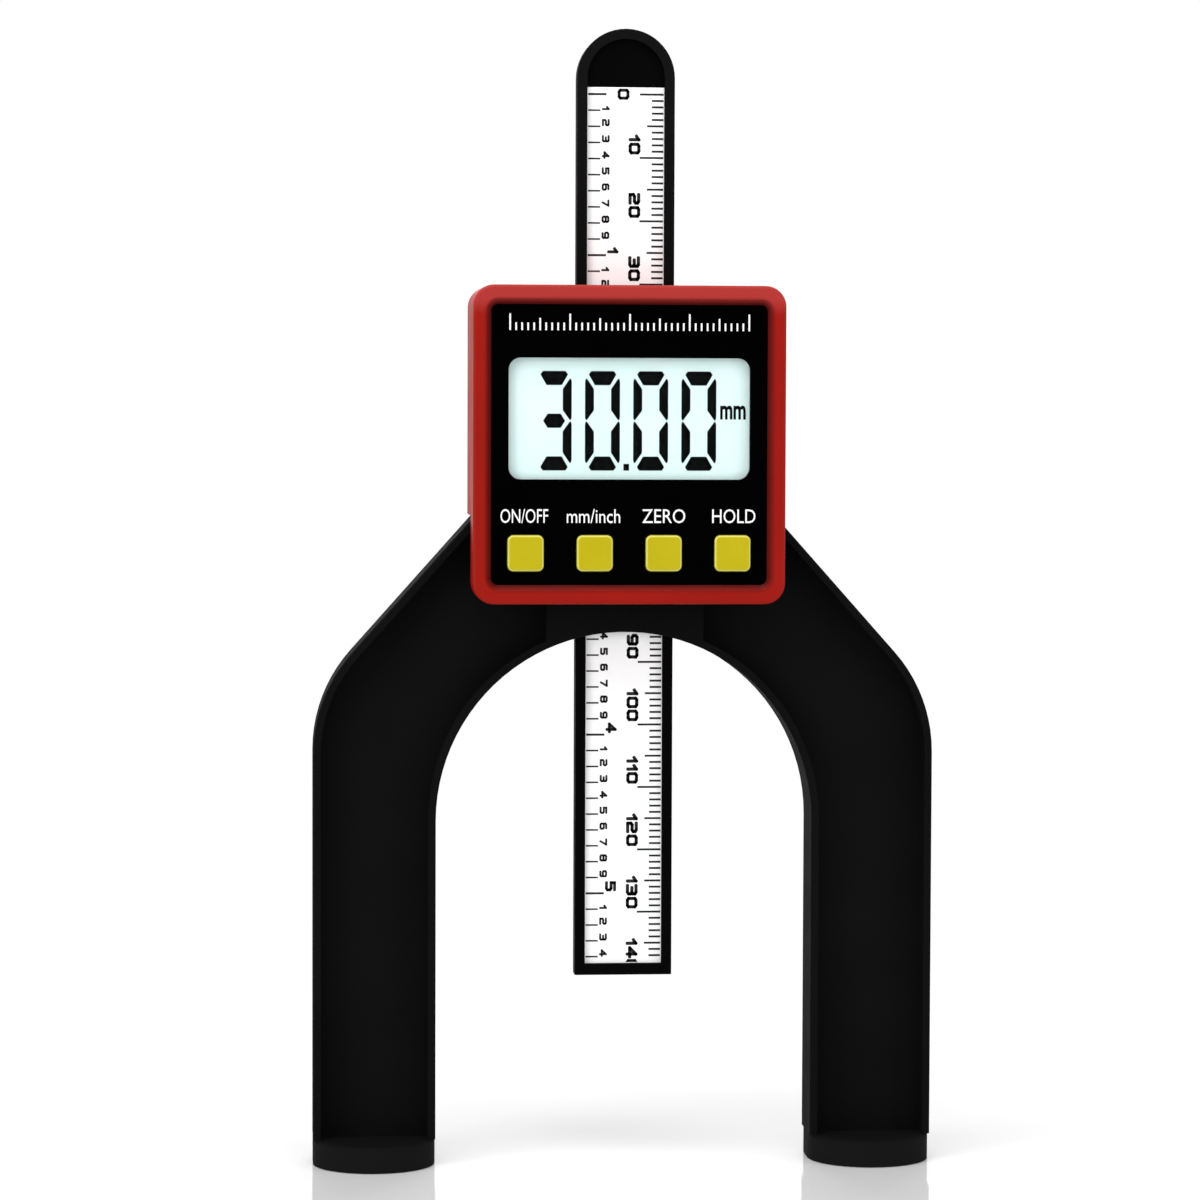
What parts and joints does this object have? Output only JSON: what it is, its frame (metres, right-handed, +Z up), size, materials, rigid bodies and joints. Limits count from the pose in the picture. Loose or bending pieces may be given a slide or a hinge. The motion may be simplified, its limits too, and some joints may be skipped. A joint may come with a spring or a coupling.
{
  "type": "digital depth gauge",
  "caption": "Standing digital depth gauge: a scale beam slides through a display with push buttons on a two-legged stand with magnet feet.",
  "frame": {"origin": "middle of the footprint, on the plane of the soles", "axes": "+X to the viewer's right, -Y towards the front with the display, +Z up along the beam"},
  "size_m": [0.0988, 0.025, 0.1803],
  "materials": {
    "stand_plastic": "satin black moulded plastic",
    "case_red": "semi-gloss red moulded plastic",
    "panel_black": "gloss black printed face",
    "clear_window": "clear window",
    "lcd_glass": "pale blue-green display glass",
    "holder_white": "white moulded plastic",
    "zebra_rubber": "striped conductive rubber",
    "circuit_board": "green solder resist",
    "inner_black": "black moulded plastic",
    "button_yellow": "satin yellow plastic",
    "cell_steel": "nickel-plated can",
    "contact_plating": "plated spring strip",
    "insert_brass": "turned brass",
    "screw_steel": "plated steel",
    "spring_steel": "spring steel strip",
    "magnet_nickel": "nickel-plated magnet",
    "knob_plastic": "satin black moulded plastic",
    "beam_plastic": "satin black, smooth",
    "strip_white": "white printed film",
    "scale_print": "black printed ink",
    "panel_print": "white printed ink",
    "lcd_print": "dark display segments"
  },
  "bodies": {
    "stand": {"stand_frame": "stand_plastic", "magnet_left_front": "magnet_nickel", "magnet_left_rear": "magnet_nickel", "magnet_right_front": "magnet_nickel", "magnet_right_rear": "magnet_nickel", "display_case": "case_red", "face_panel": "panel_black", "display_window": "clear_window", "lcd_cell": "lcd_glass", "lcd_holder": "holder_white", "zebra_strip_upper": "zebra_rubber", "zebra_strip_lower": "zebra_rubber", "main_board": "circuit_board", "sensor_board": "circuit_board", "pin_header": "inner_black", "controller_chip": "inner_black", "power_switch": "inner_black", "units_switch": "inner_black", "zero_switch": "inner_black", "hold_switch": "inner_black", "battery": "cell_steel", "battery_contact_negative": "contact_plating", "battery_contact_positive": "contact_plating", "lock_insert": "insert_brass", "drag_spring": "spring_steel", "housing_screws": "screw_steel", "board_screws": "screw_steel"},
    "beam": {"beam": "beam_plastic", "scale_board": "circuit_board", "scale_strip": "strip_white"},
    "power_key": {"power_button": "button_yellow", "power_plunger": "inner_black"},
    "units_key": {"units_button": "button_yellow", "units_plunger": "inner_black"},
    "zero_key": {"zero_button": "button_yellow", "zero_plunger": "inner_black"},
    "hold_key": {"hold_button": "button_yellow", "hold_plunger": "inner_black"},
    "battery_cap": {"battery_cap": "stand_plastic"},
    "lock_pad": {"lock_pad": "insert_brass"},
    "lock_knob": {"lock_screw": "screw_steel", "lock_knob": "knob_plastic"}
  },
  "joints": [
    {"name": "beam_slide", "type": "slide", "parent": "stand", "child": "beam", "axis": [0, 0, 1], "range_m": [-0.03, 0.05]},
    {"name": "power_press", "type": "slide", "parent": "stand", "child": "power_key", "axis": [0, 1, 0], "range_m": [0, 0.0006], "stiffness_N_per_m": 800, "springref_m": -0.0006},
    {"name": "units_press", "type": "slide", "parent": "stand", "child": "units_key", "axis": [0, 1, 0], "range_m": [0, 0.0006], "stiffness_N_per_m": 800, "springref_m": -0.0006},
    {"name": "zero_press", "type": "slide", "parent": "stand", "child": "zero_key", "axis": [0, 1, 0], "range_m": [0, 0.0006], "stiffness_N_per_m": 800, "springref_m": -0.0006},
    {"name": "hold_press", "type": "slide", "parent": "stand", "child": "hold_key", "axis": [0, 1, 0], "range_m": [0, 0.0006], "stiffness_N_per_m": 800, "springref_m": -0.0006},
    {"name": "cap_turn", "type": "hinge", "parent": "stand", "child": "battery_cap", "pos_m": [0.0152, 0.005, 0.11765], "axis": [0, 1, 0], "range_deg": [0, 60]},
    {"name": "lock_advance", "type": "slide", "parent": "stand", "child": "lock_pad", "axis": [0, -1, 0], "range_m": [0, 0.00045]},
    {"name": "lock_turn", "type": "hinge", "parent": "lock_pad", "child": "lock_knob", "pos_m": [0, 0.0125, 0.09965], "axis": [0, -1, 0], "range_deg": [0, 330]}
  ],
  "couplings": [
    {"joint": "lock_turn", "follows": "lock_advance", "rad_per_m": 12566}
  ]
}
